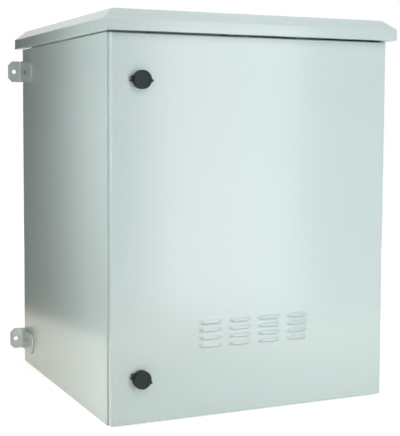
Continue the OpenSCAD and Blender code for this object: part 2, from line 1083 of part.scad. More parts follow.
module door_seal() {
    color(rubber)
        translate([0, 0, door_mid_z])
            upright(door_back_y, door_gap)
                difference() {
                    rounded_rect(door_w - 2 * seal_inset, door_h - 2 * seal_inset, seal_corner_r);
                    square([
                        door_w - 2 * (seal_inset + seal_w),
                        door_h - 2 * (seal_inset + seal_w)
                    ], center = true);
                }
}

module door_stiffener(x) {
    translate([x, door_inner_y, door_low_gap + stiffener_end])
        difference() {
            translate([-stiffener_w / 2, 0, 0])
                cube([stiffener_w, stiffener_d, door_h - 2 * stiffener_end]);
            translate([-stiffener_w / 2 + sheet_t, -overrun, -overrun])
                cube([
                    stiffener_w - 2 * sheet_t,
                    stiffener_d - sheet_t + overrun,
                    door_h - 2 * stiffener_end + 2 * overrun
                ]);
        }
}

module door_stiffener_left() {
    color(paint)
        door_stiffener(-stiffener_x);
}

module door_stiffener_right() {
    color(paint)
        door_stiffener(stiffener_x);
}

// Hinges

module hinge_lug(z) {
    color(zinc)
        translate([hinge_x, hinge_y, z - lug_h / 2])
            difference() {
                union() {
                    cylinder(h = lug_h, d = knuckle_d);
                    translate([-hinge_neck_t / 2, 0, 0])
                        cube([hinge_neck_t, frame_y - hinge_y, lug_h]);
                }
                translate([0, 0, -overrun])
                    cylinder(h = lug_h + 2 * overrun, d = hinge_pin_d + 2 * fit_gap);
            }
}

module hinge_lug_upper() {
    hinge_lug(hinge_high_z);
}

module hinge_lug_lower() {
    hinge_lug(hinge_low_z);
}

// Bracket in the door's turned edge with one ear above and one below the lug
module hinge_bracket(z) {
    seat = door_inner_y - hinge_y;
    color(zinc)
        translate([hinge_x, hinge_y, z]) {
            for (s = [-1, 1])
                translate([0, 0, s * (hinge_ear_z + hinge_ear_t / 2)])
                    linear_extrude(hinge_ear_t, center = true)
                        difference() {
                            union() {
                                circle(d = knuckle_d);
                                translate([-knuckle_d / 2, seat])
                                    square([knuckle_d, -seat]);
                            }
                            circle(d = hinge_pin_d + 2 * fit_gap);
                        }
            translate([-knuckle_d / 2 - hinge_plate_reach, seat, -hinge_ear_z - hinge_ear_t])
                cube([knuckle_d + hinge_plate_reach, hinge_plate_t, 2 * (hinge_ear_z + hinge_ear_t)]);
        }
}

module hinge_bracket_upper() {
    hinge_bracket(hinge_high_z);
}

module hinge_bracket_lower() {
    hinge_bracket(hinge_low_z);
}

module hinge_pins() {
    reach = hinge_ear_z + hinge_ear_t;
    color(zinc)
        for (z = [hinge_low_z, hinge_high_z])
            translate([hinge_x, hinge_y, z - reach]) {
                cylinder(h = 2 * reach, d = hinge_pin_d);
                translate([0, 0, 2 * reach])
                    cylinder(h = pin_head_h, d = pin_head_d);
            }
}

// Locks

// Turns a shape so that its Z runs outward from the door's face along a lock's axis
module at_lock(z) {
    translate([lock_x, door_y, z])
        rotate([90, 0, 0])
            children();
}

// Round bar along the hinge of a dust cap
module cap_pin_bar(len, d) {
    translate([-cap_pin_x, len / 2, cap_pin_z])
        rotate([90, 0, 0])
            cylinder(h = len, d = d);
}

module lock_housing(z, angle) {
    color(plastic)
        at_lock(z)
            difference() {
                union() {
                    translate([0, 0, lock_seal_t])
                        cylinder(h = lock_flange_top - lock_seal_t, d = cap_d);
                    translate([0, 0, barrel_end])
                        cylinder(h = lock_seal_t - barrel_end, d = lock_barrel_d);
                    rotate([0, 0, angle])
                        for (s = [-1, 1])
                            translate([-cap_pin_x, s * (cap_pin_len - cap_ear_w) / 2, 0]) {
                                translate([0, cap_ear_w / 2, cap_pin_z])
                                    rotate([90, 0, 0])
                                        cylinder(h = cap_ear_w, r = cap_hinge_r);
                                translate([-cap_hinge_r, -cap_ear_w / 2, lock_seal_t])
                                    cube([cap_ear_reach, cap_ear_w, lock_flange_top - lock_seal_t]);
                            }
                }
                translate([0, 0, barrel_end - overrun])
                    cylinder(h = lock_flange_top - barrel_end + 2 * overrun, d = spindle_d + 2 * fit_gap);
                translate([0, 0, spindle_head_low])
                    cylinder(h = lock_flange_top + overrun, d = spindle_head_d + 2 * fit_gap);
                rotate([0, 0, angle])
                    cap_pin_bar(cap_pin_len + 2 * overrun, cap_pin_d + 2 * fit_gap);
            }
}

module lock_housing_upper() {
    lock_housing(lock_high_z, upper_tab_angle);
}

module lock_housing_lower() {
    lock_housing(lock_low_z, lower_tab_angle);
}

module lock_seals() {
    color(rubber)
        for (z = [lock_low_z, lock_high_z])
            at_lock(z)
                difference() {
                    cylinder(h = lock_seal_t, d = lock_seal_d);
                    translate([0, 0, -overrun])
                        cylinder(h = lock_seal_t + 2 * overrun, d = lock_barrel_d + 2 * fit_gap);
                }
}

module lock_nuts() {
    color(zinc)
        for (z = [lock_low_z, lock_high_z])
            at_lock(z)
                translate([0, 0, -sheet_t - lock_nut_h])
                    difference() {
                        hex(lock_nut_af, lock_nut_h);
                        translate([0, 0, -overrun])
                            cylinder(h = lock_nut_h + 2 * overrun, d = lock_barrel_d + 2 * fit_gap);
                    }
}

// Turning core with a double-bit key post in its mouth and a square for the cam at its end
module lock_spindle(z) {
    head_z = spindle_head_low + spindle_play;
    head_top = head_z + spindle_head_h;
    color(zinc)
        at_lock(z) {
            difference() {
                union() {
                    translate([0, 0, head_z])
                        cylinder(h = spindle_head_h, d = spindle_head_d);
                    translate([0, 0, cam_front])
                        cylinder(h = head_z - cam_front, d = spindle_d);
                    translate([-cam_square / 2, -cam_square / 2, cam_back])
                        cube([cam_square, cam_square, cam_t]);
                }
                translate([0, 0, head_top - key_recess_depth])
                    cylinder(h = key_recess_depth + overrun, d = key_recess_d);
                translate([0, 0, cam_back - overrun])
                    cylinder(h = cam_screw_thread + overrun, d = small_bolt_d + 2 * fit_gap);
            }
            translate([0, 0, head_top - key_recess_depth])
                linear_extrude(key_recess_depth - key_post_drop) {
                    circle(d = key_post_d);
                    square([key_bit_w, key_bit_t], center = true);
                }
        }
}

module lock_spindle_upper() {
    lock_spindle(lock_high_z);
}

module lock_spindle_lower() {
    lock_spindle(lock_low_z);
}

// Flat cam that hangs down while the lock is open
module lock_cam(z) {
    color(zinc)
        at_lock(z)
            translate([0, 0, cam_back])
                linear_extrude(cam_t)
                    difference() {
                        translate([0, -(cam_reach - cam_w / 2) / 2])
                            rotate([0, 0, 90])
                                slot(cam_reach + cam_w / 2, cam_w);
                        square(cam_square + 2 * fit_gap, center = true);
                    }
}

module lock_cam_upper() {
    lock_cam(lock_high_z);
}

module lock_cam_lower() {
    lock_cam(lock_low_z);
}

module lock_screw(z) {
    color(zinc)
        at_lock(z)
            translate([0, 0, cam_back]) {
                translate([0, 0, -washer_t])
                    cylinder(h = washer_t, d = washer_d);
                translate([0, 0, -washer_t - small_bolt_head_h])
                    hex(small_bolt_af, small_bolt_head_h);
                translate([0, 0, -washer_t])
                    cylinder(h = washer_t + cam_screw_thread - overrun, d = small_bolt_d);
            }
}

module lock_screw_upper() {
    lock_screw(lock_high_z);
}

module lock_screw_lower() {
    lock_screw(lock_low_z);
}

// Shallow cup over the lock, with a finger tab on one side and its hinge knuckle on the other
module dust_cap(z, angle) {
    color(plastic)
        at_lock(z)
            rotate([0, 0, angle])
                difference() {
                    union() {
                        rotate_extrude()
                            polygon([
                                [0, cap_low], [cap_d / 2, cap_low], [cap_d / 2, cap_top - cap_edge],
                                [cap_d / 2 - cap_edge, cap_top], [0, cap_top]
                            ]);
                        translate([0, 0, cap_low])
                            linear_extrude(cap_tab_t)
                                translate([cap_d / 2, 0])
                                    slot(2 * cap_tab_reach, cap_tab_w);
                        translate([-cap_pin_x, -cap_knuckle_w / 2, cap_low])
                            cube([cap_pin_x - cap_d / 2 + cap_wall, cap_knuckle_w, cap_hinge_r]);
                        cap_pin_bar(cap_knuckle_w, 2 * cap_hinge_r);
                    }
                    translate([0, 0, cap_low - overrun])
                        cylinder(h = cap_h - cap_top_t + overrun, d = cap_d - 2 * cap_wall);
                    translate([0, 0, cap_top - cap_dish_depth])
                        cylinder(h = cap_dish_depth + overrun, d = cap_dish_d);
                    cap_pin_bar(cap_pin_len, cap_pin_d + 2 * fit_gap);
                }
}

module dust_cap_upper() {
    dust_cap(lock_high_z, upper_tab_angle);
}

module dust_cap_lower() {
    dust_cap(lock_low_z, lower_tab_angle);
}

module cap_pin(z, angle) {
    at_lock(z)
        rotate([0, 0, angle])
            cap_pin_bar(cap_pin_len, cap_pin_d);
}

module cap_pins() {
    color(zinc) {
        cap_pin(lock_high_z, upper_tab_angle);
        cap_pin(lock_low_z, lower_tab_angle);
    }
}

// Earth studs

module earth_stud() {
    cylinder(h = earth_len, d = bolt_d);
    cylinder(h = washer_t, d = washer_d);
    translate([0, 0, earth_nut_seat])
        cylinder(h = washer_t, d = washer_d);
    translate([0, 0, earth_nut_seat + washer_t])
        hex(bolt_af, bolt_head_h);
}

module body_earth_stud() {
    color(zinc)
        translate([-half_w + earth_inset, frame_y + earth_inset, sheet_t])
            earth_stud();
}

module door_earth_stud() {
    color(zinc)
        translate([door_w / 2 - earth_inset / 2, door_inner_y, door_low_gap + earth_inset / 2])
            rotate([-90, 0, 0])
                earth_stud();
}

body_wrap();
floor_pan();
top_pan();
roof();
roof_spacers();
roof_bolts();
rack_rail_front_left();
rack_rail_front_right();
rack_rail_rear_left();
rack_rail_rear_right();
depth_strut_low_left();
depth_strut_low_right();
depth_strut_high_left();
depth_strut_high_right();
rail_bolts();
rail_nuts();
wall_bracket_upper_left();
wall_bracket_upper_right();
wall_bracket_lower_left();
wall_bracket_lower_right();
bracket_bolts();
bracket_nuts();
gland_plate();
gland_plate_seal();
gland_plate_screws();
cable_grommets();
vent_filter_tray();
vent_filter_mat();
vent_filter_studs();
hinge_lug_upper();
hinge_lug_lower();
body_earth_stud();
door_panel();
door_seal();
door_stiffener_left();
door_stiffener_right();
louvre_filter_tray();
louvre_filter_mat();
louvre_filter_studs();
hinge_bracket_upper();
hinge_bracket_lower();
hinge_pins();
door_earth_stud();
lock_housing_upper();
lock_housing_lower();
lock_seals();
lock_nuts();
cap_pins();
lock_spindle_upper();
lock_cam_upper();
lock_screw_upper();
lock_spindle_lower();
lock_cam_lower();
lock_screw_lower();
dust_cap_upper();
dust_cap_lower();
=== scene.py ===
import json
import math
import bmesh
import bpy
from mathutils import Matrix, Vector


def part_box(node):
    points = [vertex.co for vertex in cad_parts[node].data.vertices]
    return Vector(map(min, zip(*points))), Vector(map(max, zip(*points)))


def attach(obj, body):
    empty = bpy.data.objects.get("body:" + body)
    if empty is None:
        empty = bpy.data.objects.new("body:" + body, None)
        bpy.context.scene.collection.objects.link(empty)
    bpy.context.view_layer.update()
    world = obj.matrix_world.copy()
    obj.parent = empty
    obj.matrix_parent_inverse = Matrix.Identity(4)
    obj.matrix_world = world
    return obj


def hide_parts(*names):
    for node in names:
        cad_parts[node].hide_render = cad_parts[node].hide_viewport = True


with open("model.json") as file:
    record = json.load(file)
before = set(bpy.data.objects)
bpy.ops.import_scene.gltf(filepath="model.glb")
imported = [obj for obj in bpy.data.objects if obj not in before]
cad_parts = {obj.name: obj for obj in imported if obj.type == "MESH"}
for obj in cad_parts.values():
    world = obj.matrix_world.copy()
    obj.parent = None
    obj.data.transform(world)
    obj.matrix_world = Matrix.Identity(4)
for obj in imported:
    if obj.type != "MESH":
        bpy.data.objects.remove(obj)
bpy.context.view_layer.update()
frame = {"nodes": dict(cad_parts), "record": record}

# %% [markdown]
# # An outdoor equipment cabinet
# This lesson dresses a cabinet of folded steel sheet that hangs on a wall.
# The solids come in ready made, in metres, with the door facing -Y and Z up.
# Here they get their finishes, a few pieces are modelled again with softer folds and edges,
# and a small studio is set up around them.

nodes = frame["nodes"]

# %% [markdown]
# ## The camera
# The picture was taken from the left of the door, a little above the middle of the cabinet.
# A camera could be placed by eye, but the edges of the roof and the door pin it down exactly:
# its place, its turn and its focal length come from lining up those edges.
# The optical axis isn't in the middle of the picture, so the lens is shifted by a few per cent.

# %% Place the camera
picture_wide, picture_high = 400, 436
focal_pixels = 1033.087
axis_x, axis_y = 183.09, 188.38
yaw, pitch, roll = 0.4204, -0.0676, 0.0035
camera_place = (-0.94928, -2.08783, 0.57718)
sensor, nearest = 36, 0.05
forward = Vector((math.sin(yaw) * math.cos(pitch), math.cos(yaw) * math.cos(pitch), math.sin(pitch)))
level_right = Vector((math.cos(yaw), -math.sin(yaw), 0))
level_up = level_right.cross(forward)
right = level_right * math.cos(roll) + level_up * math.sin(roll)
up = level_up * math.cos(roll) - level_right * math.sin(roll)
bpy.ops.object.camera_add(location=camera_place)
camera = bpy.context.object
camera.name = "studio_camera"
camera.rotation_euler = Matrix((right, up, -forward)).transposed().to_euler()
camera.data.sensor_width = sensor
camera.data.lens = focal_pixels * sensor / picture_high
camera.data.shift_x = (picture_wide / 2 - axis_x) / picture_high
camera.data.shift_y = (axis_y - picture_high / 2) / picture_high
camera.data.clip_start = nearest
bpy.context.scene.camera = camera
print("lens:", round(camera.data.lens, 2), "mm, shift:", round(camera.data.shift_x, 4), round(camera.data.shift_y, 4))

# %% [markdown]
# ## Node helpers for the finishes
# Every finish is a small node tree on Object coordinates, so its grain has a real size in metres.
# Small helpers keep the trees short: one starts a material, one adds a noise of a given grain, one spreads a noise
# over a range, one mixes two tones by it, and one turns noises into bumps. The last one puts them together:
# a mottled surface has a cloudy colour and a roughness that varies from patch to patch.

# %% Helpers for node trees
def start_finish(name):
    finish = bpy.data.materials.new(name)
    finish.use_nodes = True
    tree = finish.node_tree
    place = tree.nodes.new("ShaderNodeTexCoord")
    return finish, tree, tree.nodes["Principled BSDF"], place.outputs["Object"]


def grain(tree, place, size, detail=3.0, stretch=(1, 1, 1)):
    mapping = tree.nodes.new("ShaderNodeMapping")
    mapping.inputs["Scale"].default_value = [s / size for s in stretch]
    noise = tree.nodes.new("ShaderNodeTexNoise")
    noise.inputs["Scale"].default_value = 1.0
    noise.inputs["Detail"].default_value = detail
    tree.links.new(place, mapping.inputs["Vector"])
    tree.links.new(mapping.outputs["Vector"], noise.inputs["Vector"])
    return noise.outputs["Fac"]


def spread(tree, fac, low, high):
    rng = tree.nodes.new("ShaderNodeMapRange")
    rng.inputs["From Min"].default_value = 0.3
    rng.inputs["From Max"].default_value = 0.7
    rng.inputs["To Min"].default_value = low
    rng.inputs["To Max"].default_value = high
    tree.links.new(fac, rng.inputs["Value"])
    return rng.outputs["Result"]


def two_tones(tree, fac, first, second):
    mix = tree.nodes.new("ShaderNodeMix")
    mix.data_type = "RGBA"
    mix.inputs["A"].default_value = (*first, 1)
    mix.inputs["B"].default_value = (*second, 1)
    tree.links.new(fac, mix.inputs["Factor"])
    return mix.outputs["Result"]


def relief(tree, heights, shader, normal=None):
    last = normal
    for fac, depth in heights:
        bump = tree.nodes.new("ShaderNodeBump")
        bump.inputs["Strength"].default_value = 1.0
        bump.inputs["Distance"].default_value = depth
        tree.links.new(fac, bump.inputs["Height"])
        if last is not None:
            tree.links.new(last, bump.inputs["Normal"])
        last = bump.outputs["Normal"]
    tree.links.new(last, shader.inputs["Normal"])


def mottled(name, cloud, dark, pale, patch, smooth, rough):
    finish, tree, shader, place = start_finish(name)
    tone = spread(tree, grain(tree, place, *cloud), 0, 1)
    tree.links.new(two_tones(tree, tone, dark, pale), shader.inputs["Base Color"])
    tree.links.new(spread(tree, grain(tree, place, *patch), smooth, rough), shader.inputs["Roughness"])
    return finish, tree, shader, place


print("helpers ready")

# %% [markdown]
# ## Light grey powder coat
# The sheet is powder coated: a light grey with a green-blue cast, semi-gloss, with a fine orange peel.
# A bevel node softens the sharp edges in the shading, and the same edges are painted a touch paler: partly wear where
# hands and cartons rub them, partly a painted highlight along the folds. The wall ears get a darker copy of the same
# coat, which is painted shade, with almost no pale edge.

# %% Powder coat
cloud_size, speck_size, patch_size, peel_size, grit_size = 0.22, 0.0012, 0.05, 0.0035, 0.0007
peel_depth, grit_depth, edge_radius = 0.00003, 0.00001, 0.0011
coat_smooth, coat_rough, coat_ior = 0.185, 0.205, 1.5
# The pale edge colour: partly wear, partly a painted highlight that lightens every fold and edge.
wear_and_highlight_tone = (0.68, 0.76, 0.75, 1)
flat_edge, full_edge = 0.99, 0.85


def powder_coat(name, first, second, wear_and_highlight):
    finish, tree, shader, place = start_finish(name)
    cloud = spread(tree, grain(tree, place, cloud_size, 2), 0, 1)
    speck = spread(tree, grain(tree, place, speck_size, 2), 0, 1)
    tone = two_tones(tree, cloud, first, second)
    fleck = two_tones(tree, speck, (0.97, 0.97, 0.97), (1.0, 1.0, 1.0))
    flecked = tree.nodes.new("ShaderNodeMix")
    flecked.data_type = "RGBA"
    flecked.blend_type = "MULTIPLY"
    flecked.inputs["Factor"].default_value = 1.0
    tree.links.new(tone, flecked.inputs["A"])
    tree.links.new(fleck, flecked.inputs["B"])
    soft_edge = tree.nodes.new("ShaderNodeBevel")
    soft_edge.samples = 4
    soft_edge.inputs["Radius"].default_value = edge_radius
    shape = tree.nodes.new("ShaderNodeNewGeometry")
    same = tree.nodes.new("ShaderNodeVectorMath")
    same.operation = "DOT_PRODUCT"
    tree.links.new(soft_edge.outputs["Normal"], same.inputs[0])
    tree.links.new(shape.outputs["Normal"], same.inputs[1])
    # Painted highlight and wear: where the bevel normal turns away from the face normal, the colour goes paler.
    wear_and_highlight_mask = tree.nodes.new("ShaderNodeMapRange")
    for socket, value in (("From Min", flat_edge), ("From Max", full_edge), ("To Min", 0.0), ("To Max", wear_and_highlight)):
        wear_and_highlight_mask.inputs[socket].default_value = value
    tree.links.new(same.outputs["Value"], wear_and_highlight_mask.inputs["Value"])
    worn_and_highlit = tree.nodes.new("ShaderNodeMix")
    worn_and_highlit.data_type = "RGBA"
    worn_and_highlit.inputs["B"].default_value = wear_and_highlight_tone
    tree.links.new(wear_and_highlight_mask.outputs["Result"], worn_and_highlit.inputs["Factor"])
    tree.links.new(flecked.outputs["Result"], worn_and_highlit.inputs["A"])
    tree.links.new(worn_and_highlit.outputs["Result"], shader.inputs["Base Color"])
    patches = spread(tree, grain(tree, place, patch_size, 3), coat_smooth, coat_rough)
    tree.links.new(patches, shader.inputs["Roughness"])
    shader.inputs["IOR"].default_value = coat_ior
    bumps = [(grain(tree, place, peel_size, 2), peel_depth), (grain(tree, place, grit_size, 1), grit_depth)]
    relief(tree, bumps, shader, soft_edge.outputs["Normal"])
    return finish


powder_coat_grey = powder_coat("powder_coat_grey", (0.562, 0.671, 0.659), (0.570, 0.679, 0.665), 0.18)
# The wall ears get a darker copy of the same coat, which is painted shade, and almost no pale edge.
bracket_shaded_coat = powder_coat("bracket_shaded_coat", (0.515, 0.600, 0.588), (0.523, 0.608, 0.594), 0.02)
print("made", powder_coat_grey.name, bracket_shaded_coat.name)

# %% [markdown]
# ## Bare and plated metals
# The rails, struts, nuts and hinges are zinc plated: a cool grey metal with a cloudy, slightly brushed sheen.
# The bracket bolts get a darker copy of the zinc plating, which paints in the shade that they sit in, and the lock
# spindles are satin chrome. The hinge pins of the dust caps are black, which paints in the shade beside each cap. One
# recipe with different tones and roughness makes all four.

# %% Plated metals
plate_cloud, plate_patch = (0.018, 4), (0.009, 4)
brush_size, brush_stretch = 0.0006, (1, 1, 0.04)


def plated(name, dark, pale, smooth, rough, scratch):
    finish, tree, shader, place = mottled(name, plate_cloud, dark, pale, plate_patch, smooth, rough)
    shader.inputs["Metallic"].default_value = 1.0
    relief(tree, [(grain(tree, place, brush_size, 3, brush_stretch), scratch)], shader)
    return finish


zinc_plate = plated("zinc_plate", (0.55, 0.57, 0.59), (0.68, 0.69, 0.69), 0.36, 0.50, 0.00001)
# A darker copy of the zinc plating for the bracket bolts: painted shade.
shaded_bolt_plate = plated("bolt_plate_painted_shade", (0.34, 0.36, 0.36), (0.44, 0.46, 0.46), 0.34, 0.52, 0.00001)
satin_chrome = plated("satin_chrome", (0.62, 0.62, 0.62), (0.72, 0.72, 0.72), 0.32, 0.42, 0.000004)
# Black for the cap hinge pins, which paints in the shade beside each cap.
painted_shade_black = plated("painted_shade_black", (0.020, 0.021, 0.022), (0.035, 0.036, 0.037), 0.38, 0.52, 0.000004)
print("made", zinc_plate.name, shaded_bolt_plate.name, satin_chrome.name, painted_shade_black.name)

# %% [markdown]
# ## Plastic, rubber and fleece
# The dust caps and lock housings are moulded in black plastic with a fine eroded texture.
# The seals are foamed rubber with tiny pores, and the filters are a needled white fleece.

# %% Plastic, rubber and fleece
def moulded_black():
    finish, tree, shader, place = mottled("moulded_black", (0.012, 3), (0.010, 0.017, 0.017), (0.014, 0.022, 0.022),
                                          (0.004, 3), 0.42, 0.55)
    shader.inputs["Specular IOR Level"].default_value = 0.22
    relief(tree, [(grain(tree, place, 0.0006, 2), 0.00003)], shader)
    return finish


def foamed_rubber():
    finish, tree, shader, place = mottled("foamed_rubber", (0.006, 3), (0.018, 0.018, 0.019), (0.032, 0.032, 0.033),
                                          (0.003, 3), 0.68, 0.85)
    relief(tree, [(grain(tree, place, 0.0011, 3), 0.00012)], shader)
    return finish


def needled_fleece():
    finish, tree, shader, place = mottled("needled_fleece", (0.008, 5), (0.70, 0.70, 0.67), (0.84, 0.84, 0.81),
                                          (0.004, 3), 0.85, 0.98)
    shader.inputs["Sheen Weight"].default_value = 0.25
    fibre_size, fibre_depth = 0.0012, 0.0004
    lengthways = grain(tree, place, fibre_size, 4, stretch=(0.12, 1, 1))
    crossways = grain(tree, place, fibre_size, 4, stretch=(1, 1, 0.12))
    relief(tree, [(lengthways, fibre_depth), (crossways, fibre_depth)], shader)
    return finish


black_moulding = moulded_black()
seal_foam = foamed_rubber()
filter_fleece = needled_fleece()
print("made", black_moulding.name, seal_foam.name, filter_fleece.name)

# %% [markdown]
# ## Dressing the solids
# The record names a slot for every piece, so each finish goes to all the pieces of its slot at once.

# %% Give every solid its finish
finish_of = {
    "grey_paint": powder_coat_grey, "zinc_steel": zinc_plate, "bolt_steel": shaded_bolt_plate,
    "black_rubber": seal_foam, "filter_felt": filter_fleece, "black_plastic": black_moulding,
    "lock_metal": satin_chrome,
}
for subpart in frame["record"]["subparts"]:
    solid = nodes[subpart["node"]].data
    solid.materials.clear()
    solid.materials.append(finish_of[subpart["material_slot"]])
    # The wall ears take the darker copy of the coat, painted shade.
    if subpart["node"].startswith("wall_bracket"):
        solid.materials[0] = bracket_shaded_coat
    # The cap hinge pins are made black, painted shade beside each cap.
    if subpart["node"] == "cap_pins":
        solid.materials[0] = painted_shade_black

# %% [markdown]
# ## Modelling by hand, in code
# The next pieces are modelled again with the operators that the Edit Mode menus call.
# A person clicks a face to select it; code picks it by its place or by the way that it faces.
# One helper starts a piece with nothing else selected, one picks, and one puts a finished piece in its place,
# cleans its mesh, gives it its finish and lets it ride on its body.

# %% Helpers for modelling
def fresh():
    if bpy.context.mode != "OBJECT":
        bpy.ops.object.mode_set(mode="OBJECT")
    bpy.ops.object.select_all(action="DESELECT")


def only(piece):
    fresh()
    piece.select_set(True)
    bpy.context.view_layer.objects.active = piece


def edit(piece):
    only(piece)
    bpy.ops.object.mode_set(mode="EDIT")


def pick(kind, test):
    bpy.ops.mesh.select_mode(type=kind)
    bpy.ops.mesh.select_all(action="DESELECT")
    mesh = bmesh.from_edit_mesh(bpy.context.edit_object.data)
    mesh.normal_update()
    count = 0
    for item in {"VERT": mesh.verts, "EDGE": mesh.edges, "FACE": mesh.faces}[kind]:
        corners = [item] if kind == "VERT" else item.verts
        if test(sum((v.co for v in corners), Vector()) / len(corners), item):
            item.select_set(True)
            count += 1
    mesh.select_flush_mode()
    bmesh.update_edit_mesh(bpy.context.edit_object.data)
    return count


def box_start(name, low, high):
    fresh()
    low, high = Vector(low), Vector(high)
    bpy.ops.mesh.primitive_cube_add(size=1, location=(low + high) / 2)
    piece = bpy.context.object
    piece.name = name
    piece.scale = high - low
    bpy.ops.object.transform_apply(location=True, rotation=True, scale=True)
    return piece


def near(a, b):
    return abs(a - b) < 2e-5


def apply(piece, kind, **settings):
    only(piece)
    modifier = piece.modifiers.new(kind.title(), kind)
    for key, value in settings.items():
        setattr(modifier, key, value)
    bpy.ops.object.modifier_apply(modifier=modifier.name)


def clean(piece, angle=35):
    edit(piece)
    bpy.ops.mesh.select_all(action="SELECT")
    bpy.ops.mesh.remove_doubles(threshold=1e-6)
    bpy.ops.mesh.normals_make_consistent(inside=False)
    fresh()
    only(piece)
    bpy.ops.object.shade_smooth_by_angle(angle=math.radians(angle))


def place(piece, body, slot, *stands_for):
    piece.data.name = piece.name
    piece.data.materials.clear()
    piece.data.materials.append(finish_of[slot])
    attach(piece, body)
    if stands_for:
        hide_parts(*stands_for)
    print("made", piece.name, "with", len(piece.data.polygons), "faces")


print("modelling helpers ready")

# %% [markdown]
# ## The roof
# The roof is one folded sheet: a flat top, a sloped border, an upright skirt and a lip turned in under it.
# A box with an extruded and shrunken top gives the outer skin. Its folds are bevelled to the radius of a bent
# sheet before Solidify gives the skin its thickness, so the inside of each fold follows the outside.
# The lips are separate flaps that meet at a mitre with a fine gap, as folded sheet does.

# %% Roof skin
sheet, fold_radius = 0.0015, 0.0014
skirt, rise, run, lip, mitre_gap, rear_lift = 0.022, 0.0195, 0.022, 0.012, 0.0005, 0.006
low, high = (Vector(corner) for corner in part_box("roof"))
wide, deep = high.x - low.x, high.y - low.y
middle = (low + high) / 2
canopy = box_start("canopy_roof", low, (high.x, high.y, low.z + skirt))
edit(canopy)
pick("FACE", lambda at, face: face.normal.z > 0.9)
bpy.ops.mesh.extrude_region_move(TRANSFORM_OT_translate={"value": (0, 0, rise)})
bpy.ops.transform.resize(value=(1 - 2 * run / wide, 1 - 2 * run / deep, 1), center_override=middle)
pick("FACE", lambda at, face: face.normal.z < -0.9)
bpy.ops.mesh.delete(type="ONLY_FACE")
pick("FACE", lambda at, face: face.normal.y > 0.9)
bpy.ops.mesh.bisect(plane_co=(0, 0, low.z + rear_lift), plane_no=(0, 0, 1))
pick("FACE", lambda at, face: face.normal.y > 0.9 and at.z < low.z + rear_lift)
bpy.ops.mesh.delete(type="FACE")
print("skin of the roof:", len(canopy.data.polygons), "faces before its lips")

# %% Roof lips, folds and thickness
pick("EDGE", lambda at, edge: near(at.z, low.z) and near(at.y, low.y))
bpy.ops.mesh.extrude_edges_move(TRANSFORM_OT_translate={"value": (0, lip, 0)})
bpy.ops.transform.resize(value=(1 - 2 * (lip + mitre_gap) / wide, 1, 1), center_override=middle)
for side, edge_x in ((1, low.x), (-1, high.x)):
    pick("EDGE", lambda at, edge: near(at.z, low.z) and near(at.x, edge_x) and edge.is_boundary)
    bpy.ops.mesh.extrude_edges_move(TRANSFORM_OT_translate={"value": (side * lip, 0, 0)})
    pick("VERT", lambda at, vert: near(at.x, edge_x + side * lip) and near(at.y, low.y))
    bpy.ops.transform.translate(value=(0, lip + mitre_gap, 0))
bpy.ops.mesh.select_all(action="SELECT")
bpy.ops.mesh.normals_make_consistent(inside=False)
pick("EDGE", lambda at, edge: len(edge.link_faces) == 2 and edge.calc_face_angle() > 0.1)
bpy.ops.mesh.bevel(offset=fold_radius, segments=3, affect="EDGES")
apply(canopy, "SOLIDIFY", thickness=sheet, offset=-1, use_even_offset=True)
clean(canopy)
apply(canopy, "WEIGHTED_NORMAL", keep_sharp=True)
place(canopy, "cabinet", "grey_paint", "roof")

# %% [markdown]
# ## The dust caps
# A round black cap covers each lock: a shallow cup with a soft rim, a ring sunk into its face, a ribbed finger tab
# on the right and a hinge knuckle on the left. A cylinder is a start; insets, extrusions and bevels make the cup.
# The tab and the knuckle are joined to it with a union, so the cap is one closed skin.
# It is modelled lying on its back at the origin and then stood on the door, once for each lock.

# %% Cup of the dust cap
cap_r, cap_low, cap_top = 0.0175, 0.0063, 0.0120
rim_w, wall_w, cup_deep = 0.0036, 0.0025, 0.0035
groove_w, groove_deep, groove_reach = 0.0004, 0.0005, 0.0145
crown_steps, crown_rise = (0.0060, 0.0040), 0.0001
rim_round, foot_round, groove_round = 0.0011, 0.0003, 0.0002
fresh()
bpy.ops.mesh.primitive_cylinder_add(vertices=96, radius=cap_r, depth=cap_top - cap_low,
                                    location=(0, 0, (cap_low + cap_top) / 2))
cup = bpy.context.object
cup.name = "dust_cap"
bpy.ops.object.transform_apply(location=True)
edit(cup)
pick("FACE", lambda at, face: face.normal.z > 0.9)
bpy.ops.mesh.inset(thickness=rim_w, depth=0)
bpy.ops.mesh.inset(thickness=groove_w, depth=-groove_deep)
for step in crown_steps:
    bpy.ops.mesh.inset(thickness=step, depth=crown_rise)
pick("FACE", lambda at, face: face.normal.z < -0.9)
bpy.ops.mesh.inset(thickness=wall_w, depth=0)
bpy.ops.mesh.extrude_region_move(TRANSFORM_OT_translate={"value": (0, 0, cup_deep)})
pick("EDGE", lambda at, edge: near(at.z, cap_top) and edge.calc_face_angle() > 1)
bpy.ops.mesh.bevel(offset=rim_round, segments=5, affect="EDGES")
pick("EDGE", lambda at, edge: at.z < cap_low + 1e-5 and edge.calc_face_angle() > 1)
bpy.ops.mesh.bevel(offset=foot_round, segments=2, affect="EDGES")
pick("EDGE", lambda at, edge: (at.z > cap_top - groove_deep - crown_rise and at.xy.length < groove_reach
                               and 0.4 < edge.calc_face_angle() < 1.2))
bpy.ops.mesh.bevel(offset=groove_round, segments=2, affect="EDGES")
fresh()
print("cup:", len(cup.data.polygons), "faces")

